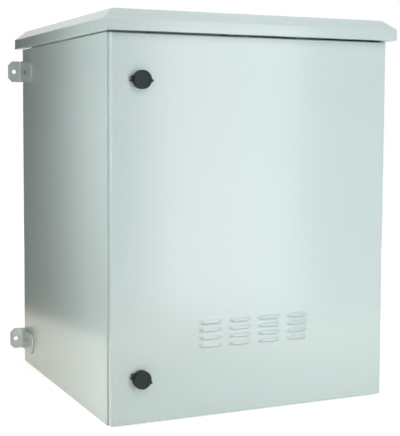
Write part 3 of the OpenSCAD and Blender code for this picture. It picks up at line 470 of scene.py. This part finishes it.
# %% Finger tab
tab_in, tab_out, tab_half, tab_thick, tab_round = 0.0160, 0.0215, 0.0025, 0.0030, 0.0023
tab_edge, tab_crown = 0.0004, 0.0003
rib_first, rib_pitch, rib_w, rib_half, rib_round = 0.0181, 0.0010, 0.0005, 0.0015, 0.0002
rib_low, rib_high = cap_low + 0.0025, cap_low + 0.0036
tab = box_start("tab", (tab_in, -tab_half, cap_low), (tab_out, tab_half, cap_low + tab_thick))
edit(tab)
pick("EDGE", lambda at, edge: near(at.x, tab_out) and abs(at.y) > 0.8 * tab_half)
bpy.ops.mesh.bevel(offset=tab_round, segments=8, affect="EDGES")
pick("FACE", lambda at, face: face.normal.z > 0.9)
bpy.ops.mesh.inset(thickness=tab_edge, depth=tab_crown)
fresh()
for step in range(3):
    rib_x = rib_first + rib_pitch * step
    rib = box_start("rib", (rib_x, -rib_half, rib_low), (rib_x + rib_w, rib_half, rib_high))
    apply(rib, "BEVEL", width=rib_round, segments=2)
    apply(tab, "BOOLEAN", operation="UNION", object=rib)
    bpy.data.objects.remove(rib)
print("tab:", len(tab.data.polygons), "faces")

# %% Hinge knuckle
arm_in, arm_half, arm_thick = 0.0155, 0.0027, 0.0018
pin_out, pin_up, knuckle_r, bore_r, bore_long = 0.0200, 0.00615, 0.0018, 0.00105, 0.0080


def lying_rod(radius, long, vertices):
    fresh()
    bpy.ops.mesh.primitive_cylinder_add(vertices=vertices, radius=radius, depth=long, location=(-pin_out, 0, pin_up),
                                        rotation=(math.pi / 2, 0, 0))
    bpy.ops.object.transform_apply(location=True, rotation=True)
    return bpy.context.object


arm = box_start("arm", (-pin_out, -arm_half, cap_low), (-arm_in, arm_half, cap_low + arm_thick))
knuckle = lying_rod(knuckle_r, 2 * arm_half, 40)
apply(arm, "BOOLEAN", operation="UNION", object=knuckle)
bore = lying_rod(bore_r, bore_long, 32)
apply(arm, "BOOLEAN", operation="DIFFERENCE", object=bore)
for part in (tab, arm):
    apply(cup, "BOOLEAN", operation="UNION", object=part)
for part in (tab, arm, knuckle, bore):
    bpy.data.objects.remove(part)
clean(cup, 40)
print("cap:", len(cup.data.polygons), "faces")

# %% Stand a cap on each lock
lock_x, door_face = -0.2405, -0.311
lock_heights = {"upper": 0.6483, "lower": 0.0887}
tab_angles = {"upper": -5, "lower": -21}
stand_up = Matrix.Rotation(math.pi / 2, 3, "X")
for which, lock_z in lock_heights.items():
    cap = cup.copy()
    cap.data = cup.data.copy()
    bpy.context.collection.objects.link(cap)
    cap.name = which + "_dust_cap"
    cap.location = (lock_x, door_face, lock_z)
    cap.rotation_euler = (stand_up @ Matrix.Rotation(math.radians(tab_angles[which]), 3, "Z")).to_euler()
    only(cap)
    bpy.ops.object.transform_apply(location=True, rotation=True)
    place(cap, which + "_cap", "black_plastic", "dust_cap_" + which)
bpy.data.objects.remove(cup)

# %% [markdown]
# ## The door seal
# A strip of foamed rubber runs round the back of the door and meets the frame. Foam is poured as a bead, so its
# section is a low crown and not a block. A flat box gets round corners, an inset on both faces and a bridge between
# them make it a frame, and a wide bevel on the side that meets the frame gives the crown.

# %% Door seal
seal_w, corner_round, crown_round = 0.010, 0.005, 0.0032
low, high = (Vector(corner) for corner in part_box("door_seal"))
gasket = box_start("door_gasket", low, high)
edit(gasket)
pick("EDGE", lambda at, edge: abs(edge.verts[0].co.y - edge.verts[1].co.y) > 0.001)
bpy.ops.mesh.bevel(offset=corner_round, segments=6, affect="EDGES")
pick("FACE", lambda at, face: abs(face.normal.y) > 0.9)
bpy.ops.mesh.inset(thickness=seal_w)
bpy.ops.mesh.bridge_edge_loops()
pick("EDGE", lambda at, edge: near(at.y, high.y) and edge.calc_face_angle() > 1)
bpy.ops.mesh.bevel(offset=crown_round, segments=4, affect="EDGES")
clean(gasket, 50)
place(gasket, "door", "black_rubber", "door_seal")

# %% [markdown]
# ## The filter mats
# Needled fleece is lumpy and its cut edges are soft. A box is subdivided, its edges are rounded,
# and a displacement by a cloud texture of about a centimetre moves its skin by a few tenths of a millimetre.

# %% Filter mats
lump_size, lump_depth, fleece_round = 0.012, 0.0010, 0.0014
inside = Vector((0.0006, 0.0006, 0.0006))
lumps = bpy.data.textures.new("fleece_lumps", "CLOUDS")
lumps.noise_scale = lump_size
for name, body, node in (("door_fleece", "door", "louvre_filter_mat"), ("vent_fleece", "cabinet", "vent_filter_mat")):
    low, high = (Vector(corner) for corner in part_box(node))
    fleece = box_start(name, low + inside, high - inside)
    edit(fleece)
    bpy.ops.mesh.select_all(action="SELECT")
    bpy.ops.mesh.subdivide(number_cuts=28)
    fresh()
    apply(fleece, "BEVEL", width=fleece_round, segments=2, limit_method="ANGLE", angle_limit=1.0)
    apply(fleece, "DISPLACE", texture=lumps, texture_coords="LOCAL", strength=lump_depth, mid_level=0.5)
    clean(fleece, 60)
    place(fleece, body, "filter_felt", node)

# %% [markdown]
# ## Turned pieces
# Washers, screw heads, studs and grommets are round, so a lathe would make them.
# The helper draws half of a section, point by point from a single vertex, and spins it round the Z axis.

# %% A lathe
def turned(name, section, steps=48):
    fresh()
    bpy.ops.mesh.primitive_plane_add(size=0.001)
    piece = bpy.context.object
    piece.name = name
    edit(piece)
    bpy.ops.mesh.select_mode(type="VERT")
    bpy.ops.mesh.select_all(action="SELECT")
    bpy.ops.mesh.merge(type="CENTER")
    bpy.ops.mesh.select_all(action="SELECT")
    bpy.ops.transform.translate(value=(section[0][0], 0, section[0][1]))
    for (r0, z0), (r1, z1) in zip(section, section[1:]):
        bpy.ops.mesh.extrude_region_move(TRANSFORM_OT_translate={"value": (r1 - r0, 0, z1 - z0)})
    bpy.ops.mesh.select_all(action="SELECT")
    bpy.ops.mesh.spin(steps=steps, angle=2 * math.pi, center=(0, 0, 0), axis=(0, 0, 1))
    clean(piece)
    return piece


def washer(outer, inner, low, thick):
    edge = thick / 6
    return turned("washer", [(inner, low), (outer - edge, low), (outer, low + edge), (outer, low + thick - edge),
                             (outer - edge, low + thick), (inner, low + thick), (inner, low)])


def threaded(radius, low, high, pitch):
    section = [(0, low), (radius - pitch, low), (radius, low + pitch)]
    turns = int((high - low - 2 * pitch) / pitch)
    for turn in range(turns):
        z = low + pitch * (1 + turn)
        section += [(radius - 0.55 * pitch, z + 0.5 * pitch), (radius, z + pitch)]
    return turned("thread", section + [(radius - pitch, high), (0, high)], 24)


print("lathe ready")

# %% [markdown]
# A hexagon's corners are cut back by a cone when it is turned, which leaves the curved edge of every bolt head.
# The intersection of a six-sided cylinder with a turned barrel gives just that edge.

# %% Hexagons and joins
def hexagon(across, low, thick, bore=0.0):
    fresh()
    corner = across / 2 / math.cos(math.pi / 6)
    bpy.ops.mesh.primitive_cylinder_add(vertices=6, radius=corner, depth=thick, location=(0, 0, low + thick / 2))
    block = bpy.context.object
    bpy.ops.object.transform_apply(location=True)
    flat, wide = 0.475 * across, 1.05 * corner
    drop = (wide - flat) * math.tan(math.radians(25))
    foot = [(0, low), (flat, low), (wide, low + drop)] if bore else [(0, low), (wide, low)]
    barrel = turned("barrel", foot + [(wide, low + thick - drop), (flat, low + thick), (0, low + thick)])
    apply(block, "BOOLEAN", operation="INTERSECT", object=barrel)
    bpy.data.objects.remove(barrel)
    if bore:
        under, over = low - 0.001, low + thick + 0.001
        hole = turned("hole", [(0, under), (bore, under), (bore, over), (0, over)])
        apply(block, "BOOLEAN", operation="DIFFERENCE", object=hole)
        bpy.data.objects.remove(hole)
    clean(block, 30)
    return block


def join(name, parts):
    fresh()
    for part in parts:
        part.select_set(True)
    bpy.context.view_layer.objects.active = parts[0]
    if len(parts) > 1:
        bpy.ops.object.join()
    parts[0].name = name
    return parts[0]


def copies(master, name, spots):
    made = []
    for at, way in spots:
        piece = master.copy()
        piece.data = master.data.copy()
        bpy.context.collection.objects.link(piece)
        piece.location = at
        piece.rotation_euler = Vector(way).to_track_quat("Z", "Y").to_euler()
        only(piece)
        bpy.ops.object.transform_apply(location=True, rotation=True)
        made.append(piece)
    bpy.data.objects.remove(master)
    return join(name, made)


print("hexagons ready")

# %% [markdown]
# ## Bolts, nuts and studs
# Each kind is put together once at the origin, seat at zero and head upwards, and then copied to its places:
# hex bolts under the roof, bolts and nuts on the rails, nuts behind the wall ears, lock nuts and cam screws,
# and welded studs with nuts for the filter trays and the earth leads.
# A thread is known by its size, so its radius, its pitch and its hexagon are kept together under that size.

# %% Thread sizes
# Radius, pitch, width across the flats and height of the head or nut.
threads = {"m4": (0.002, 0.0007, 0.007, 0.004), "m6": (0.003, 0.001, 0.010, 0.004),
           "m8": (0.004, 0.00125, 0.013, 0.0053)}
nut_play, washer_play, washer_r, washer_t = 0.00005, 0.0001, 0.008, 0.0016


def hex_head(size, low=0.0):
    _, _, across, high = threads[size]
    return hexagon(across, low, high)


def hex_nut(size, low=0.0):
    radius, _, across, high = threads[size]
    return hexagon(across, low, high, radius + nut_play)


def shank(size, low, high):
    radius, pitch, _, _ = threads[size]
    return threaded(radius, low, high, pitch)


def flat_washer(size, low):
    return washer(washer_r, threads[size][0] + washer_play, low, washer_t)


print("threads:", sorted(threads))

# %% Bolts and nuts
sides = (-1, 1)
corners = [(sx, sy) for sx in sides for sy in sides]
roof_bolt_x, roof_bolt_y, roof_bolt_z, roof_bolt_long = 0.160, 0.149, 0.7329, 0.0270
roof_bolt = join("roof_bolt", [hex_head("m8"), flat_washer("m8", -washer_t), shank("m8", -roof_bolt_long, 0.0)])
spots = [((sx * roof_bolt_x, sy * roof_bolt_y, roof_bolt_z), (0, 0, -1)) for sx, sy in corners]
place(copies(roof_bolt, "roof_bolt_set", spots), "cabinet", "zinc_steel", "roof_bolts")

head_x, nut_x, rail_bolt_long = 0.2434, 0.2474, 0.008
rail_spots = [(s, y, z) for s in sides for y in (-0.205, -0.189, 0.149, 0.165) for z in (0.0175, 0.7185)]
rail_bolt = join("rail_bolt", [hex_head("m6"), shank("m6", -rail_bolt_long, 0.0)])
spots = [((s * head_x, y, z), (-s, 0, 0)) for s, y, z in rail_spots]
place(copies(rail_bolt, "rail_bolt_set", spots), "cabinet", "zinc_steel", "rail_bolts")
spots = [((s * nut_x, y, z), (s, 0, 0)) for s, y, z in rail_spots]
place(copies(hex_nut("m6"), "rail_nut_set", spots), "cabinet", "zinc_steel", "rail_nuts")

wall_inside, ear_bolt_y, ear_bolt_heights = 0.2985, 0.257, (0.053, 0.685)
spots = [((s * wall_inside, ear_bolt_y, z), (-s, 0, 0)) for s in sides for z in ear_bolt_heights]
place(copies(hex_nut("m8"), "bracket_nut_set", spots), "cabinet", "zinc_steel", "bracket_nuts")

# %% Lock nuts and cam screws
door_inside, cam_back = -0.3095, -0.2825
lock_nut_across, lock_nut_t, lock_nut_bore, cam_screw_long = 0.027, 0.006, 0.01105, 0.011
spots = [((lock_x, door_inside, z), (0, 1, 0)) for z in lock_heights.values()]
lock_nut = hexagon(lock_nut_across, 0, lock_nut_t, lock_nut_bore)
place(copies(lock_nut, "lock_nut_set", spots), "door", "zinc_steel", "lock_nuts")
for which, z in lock_heights.items():
    cam_screw = join("cam_screw", [hex_head("m6", washer_t), flat_washer("m6", 0),
                                   shank("m6", -cam_screw_long, washer_t)])
    place(copies(cam_screw, which + "_cam_screw", [((lock_x, cam_back, z), (0, 1, 0))]), which + "_lock", "zinc_steel",
          "lock_screw_" + which)

# %% Studs
stud_long, stud_nut_low = 0.009, 0.001
door_stud_x, door_stud_z, vent_stud_x, vent_stud_z = 0.1465, 0.16725, 0.138, 0.7345
door_spots = [((s * door_stud_x, door_inside, door_stud_z), (0, 1, 0)) for s in sides]
vent_spots = [((s * vent_stud_x, 0, vent_stud_z), (0, 0, -1)) for s in sides]
for name, body, node, spots in (("door_filter_studs", "door", "louvre_filter_studs", door_spots),
                                ("vent_filter_stud_set", "cabinet", "vent_filter_studs", vent_spots)):
    stud = join("stud", [shank("m4", 0, stud_long), hex_nut("m4", stud_nut_low)])
    place(copies(stud, name, spots), body, "zinc_steel", node)

# The nut of an earth stud presses a second washer on the lead, which is left out here.
earth_long, earth_lead = 0.024, 0.008
for name, body, node, at, way in (
        ("cabinet_earth", "cabinet", "body_earth_stud", (-0.190, -0.179, 0.0015), (0, 0, 1)),
        ("door_earth", "door", "door_earth_stud", (0.244, door_inside, 0.058), (0, 1, 0))):
    stud = join("stud", [shank("m8", 0, earth_long), flat_washer("m8", 0), flat_washer("m8", earth_lead),
                         hex_nut("m8", earth_lead + washer_t)])
    place(copies(stud, name, [(at, way)]), body, "zinc_steel", node)

# %% [markdown]
# ## Screws and grommets of the cable plate
# The plate in the floor is held by pan-head screws with a cross recess, cut by two tapered bars.
# Each cable goes through a rubber grommet with stepped rings, from which a fitter cuts the size that is needed.

# %% Cable plate
plate_y, plate_top, screw_y = 0.169, 0.0045, 0.055
recess_low, recess_high, recess_taper = 0.0012, 0.0040, 0.55
screw = turned("screw", [
    (0, -0.0045), (0.0021, -0.0045), (0.0025, -0.0041), (0.0025, 0), (0.0043, 0), (0.0045, 0.0004),
    (0.0044, 0.0012), (0.0038, 0.0021), (0.0026, 0.0026), (0.0012, 0.0028), (0, 0.0028)])
for half_x, half_y in ((0.0023, 0.00055), (0.00055, 0.0023)):
    bar = box_start("recess", (-half_x, -half_y, recess_low), (half_x, half_y, recess_high))
    edit(bar)
    pick("FACE", lambda at, face: face.normal.z < -0.9)
    bpy.ops.transform.resize(value=(recess_taper, recess_taper, 1), center_override=(0, 0, recess_low))
    fresh()
    apply(screw, "BOOLEAN", operation="DIFFERENCE", object=bar)
    bpy.data.objects.remove(bar)
clean(screw, 30)
spots = [((x, plate_y + sy * screw_y, plate_top), (0, 0, 1)) for x in (-0.120, 0, 0.120) for sy in sides]
place(copies(screw, "plate_screw_set", spots), "cabinet", "zinc_steel", "gland_plate_screws")

# %% Grommets
grommet_z = 0.0025
grommet = turned("grommet", [
    (0, 0.0003), (0.0038, 0.0003), (0.0042, 0.0010), (0.0068, 0.0010), (0.0072, 0.0017), (0.0096, 0.0017),
    (0.0100, 0.0024), (0.0118, 0.0024), (0.0122, 0.0031), (0.0128, 0.0035), (0.0160, 0.0035), (0.0168, 0.0031),
    (0.0170, 0.0026), (0.0166, 0.0020), (0.0140, 0.0020), (0.0140, 0.0), (0.0166, 0.0), (0.0170, -0.0004),
    (0.0168, -0.0010), (0.0160, -0.0015), (0.0120, -0.0015), (0.0112, -0.0008), (0.0100, 0.0010), (0.0072, 0.0003),
    (0.0042, -0.0004), (0.0038, -0.0009), (0, -0.0009)], 64)
spots = [((x, plate_y, grommet_z), (0, 0, 1)) for x in (-0.0825, -0.0275, 0.0275, 0.0825)]
place(copies(grommet, "grommet_row", spots), "cabinet", "black_rubber", "cable_grommets")

# %% [markdown]
# ## Floor and light
# The cabinet stands in a white studio. A tall softbox to the right of the camera puts the broad soft streak on the
# door, large boxes in front and above give the plain light, and three small strips near the left wall make it
# fade from its front edge to the back. Low warm strips stand for the light that a pale floor throws back, and a
# narrow one reaches the lower wall ear.
# The boxes behind and on the right only reach the sides that this camera doesn't see.
# The strips by the left wall, the ear strip, the box over the roof and the boxes behind and on the right would show as
# bright squares in the gloss of the paint, so they're hidden from glossy rays and give their plain light only.

# %% Lamps
white, warm, cool = (1, 1, 1), (1.0, 0.87, 0.72), (0.96, 0.97, 1.0)


def softbox(name, at, aim, wide, high, power, colour=white):
    bpy.ops.object.light_add(type="AREA", location=at)
    lamp = bpy.context.object
    lamp.name = name
    lamp.data.shape = "RECTANGLE"
    lamp.data.size = wide
    lamp.data.size_y = high
    lamp.data.energy = power
    lamp.data.color = colour
    lamp.visible_camera = False
    lamp.rotation_euler = (Vector(aim) - Vector(at)).to_track_quat("-Z", "Y").to_euler()
    return lamp


fresh()
# Each row: name, place, the point it looks at, width, height, power and colour.
for shiny_lamp in (
        ("tall_softbox", (0.44, -1.27, 0.455), (0, -0.31, 0.425), 0.40, 0.91, 4.42, cool),
        ("tall_side_strip", (0.20, -1.27, 0.455), (-0.1, -0.31, 0.425), 0.14, 0.91, 0.86, cool),
        ("high_box", (0.38, -1.6, 2.0), (0, -0.31, 0.5), 1.2, 0.65, 13.2),
        ("front_box", (-0.6, -3.0, 1.2), (0, -0.3, 0.4), 1.6, 1.6, 8.2),
        ("left_box", (-1.6, -1.6, 0.9), (-0.3, -0.2, 0.45), 0.8, 1.6, 6.17),
        ("floor_strip_left", (-1.0, 0.22, 0.1), (-0.3, 0.2, 0.1), 0.7, 0.15, 0.50, warm),
        ("floor_strip_front", (0.1, -0.75, 0.05), (0, -0.31, 0.12), 1.0, 0.08, 0.18, warm),
        ("top_box", (0, -0.2, 2.4), (0, 0, 0.4), 2.0, 2.0, 1.2)):
    softbox(*shiny_lamp)
for plain_lamp in (
        ("ear_strip", (-0.52, -0.9, 0.05), (-0.325, 0.29, 0.053), 0.08, 0.08, 0.044, warm),
        ("rear_box", (1.2, 2.4, 0.6), (0.1, 0.3, 0.4), 1.4, 1.0, 26),
        ("right_box", (2.6, 0.8, 0.7), (0.3, 0.1, 0.4), 1.4, 1.2, 26),
        ("left_edge_strip", (-0.62, -0.28, 0.43), (-0.3, -0.28, 0.43), 0.08, 0.84, 0.93),
        ("left_high_strip", (-0.75, -0.25, 0.75), (-0.3, -0.22, 0.65), 0.2, 0.3, 0.64),
        ("left_middle_strip", (-0.75, -0.25, 0.5), (-0.3, -0.22, 0.5), 0.2, 0.3, 0.26),
        ("roof_box", (0, 0, 1.25), (0, 0, 0.7), 0.6, 0.6, 3.5)):
    softbox(*plain_lamp).visible_glossy = False
narrow_beam = math.radians(16)
bpy.data.objects["ear_strip"].data.spread = narrow_beam

# %% [markdown]
# The floor is a pale plane that keeps the cabinet's shadow, and it shows white to the camera and in reflections.
# A dark card stands behind the left wall. Only the gloss of the paint sees it, as in a studio where a black flag
# is held beside a shiny side to give it depth.

# %% Floor and card
floor_wide = 12
card_place, card_turn, card_size = (-0.506, 0.710, 0.43), math.radians(76.1), (1.06, 0.86, 1)
fresh()
bpy.ops.mesh.primitive_plane_add(size=floor_wide, location=(0, 0, 0))
floor = bpy.context.object
floor.name = "studio_floor"
bpy.ops.mesh.primitive_plane_add(size=1, location=card_place, rotation=(math.pi / 2, 0, card_turn))
card = bpy.context.object
card.name = "studio_card"
card.scale = card_size
card.visible_camera = card.visible_diffuse = card.visible_shadow = card.visible_transmission = False
for backdrop in (floor, card):
    only(backdrop)
    bpy.ops.object.transform_apply(location=True, rotation=True, scale=True)


def matt(name, colour):
    finish, tree, shader, place = start_finish(name)
    shader.inputs["Base Color"].default_value = (*colour, 1)
    shader.inputs["Roughness"].default_value = 0.9
    return finish, tree, shader, place


card_black = matt("studio_black", (0.02, 0.02, 0.02))[0]
card.data.materials.append(card_black)
floor_white, floor_tree, floor_shader, floor_place = matt("studio_white", (0.82, 0.81, 0.78))
floor.data.materials.append(floor_white)
print("stage:", floor.name, card.name)

# %% [markdown]
# Light Path tells what kind of ray asks. Camera, glossy and transmitted rays find a shining white floor, and the light
# that bounces off it is left to the lamps. Close to the cabinet the floor shines less for the camera, so its shadow
# shows, and its reflection in the paint is a little warm there, as from a pale floor under warm light.

# %% White for the rays that see it
shadow_near, shadow_far, shadow_share = 0.5, 1.8, 0.72
warm_near, warm_far, warm_floor = 1.0, 1.7, (1.0, 0.97, 0.82)


def combine(tree, operation, first, second):
    node = tree.nodes.new("ShaderNodeMath")
    node.operation = operation
    tree.links.new(first, node.inputs[0])
    tree.links.new(second, node.inputs[1])
    return node.outputs["Value"]


def seen_rays(tree, camera_share=None):
    ray = tree.nodes.new("ShaderNodeLightPath").outputs
    last = ray["Is Camera Ray"]
    if camera_share:
        last = combine(tree, "MULTIPLY", last, camera_share)
    for kind in ("Is Glossy Ray", "Is Transmission Ray"):
        last = combine(tree, "MAXIMUM", last, ray[kind])
    return last


way_off = floor_tree.nodes.new("ShaderNodeVectorMath")
way_off.operation = "LENGTH"
floor_tree.links.new(floor_place, way_off.inputs[0])


def fade(near_by, far_off, first, last):
    ramp = floor_tree.nodes.new("ShaderNodeMapRange")
    for socket, value in (("From Min", near_by), ("From Max", far_off), ("To Min", first), ("To Max", last)):
        ramp.inputs[socket].default_value = value
    floor_tree.links.new(way_off.outputs["Value"], ramp.inputs["Value"])
    return ramp.outputs["Result"]


shine = seen_rays(floor_tree, fade(shadow_near, shadow_far, shadow_share, 1.0))
floor_tree.links.new(shine, floor_shader.inputs["Emission Strength"])
floor_ray = floor_tree.nodes.new("ShaderNodeLightPath").outputs
pale = combine(floor_tree, "MAXIMUM", floor_ray["Is Camera Ray"], fade(warm_near, warm_far, 0.0, 1.0))
floor_tree.links.new(two_tones(floor_tree, pale, warm_floor, white), floor_shader.inputs["Emission Color"])
print("floor:", len(floor_tree.nodes), "nodes")

# %% [markdown]
# The world is white to the camera and in reflections, and otherwise dark, so the lamps alone shape the cabinet.

# %% World
world = bpy.data.worlds.new("white_studio")
bpy.context.scene.world = world
world.use_nodes = True
sky = world.node_tree
sky.nodes["Background"].inputs["Color"].default_value = (*white, 1)
sky.links.new(seen_rays(sky), sky.nodes["Background"].inputs["Strength"])
bpy.context.scene.view_settings.view_transform = "Standard"
print("world ready")
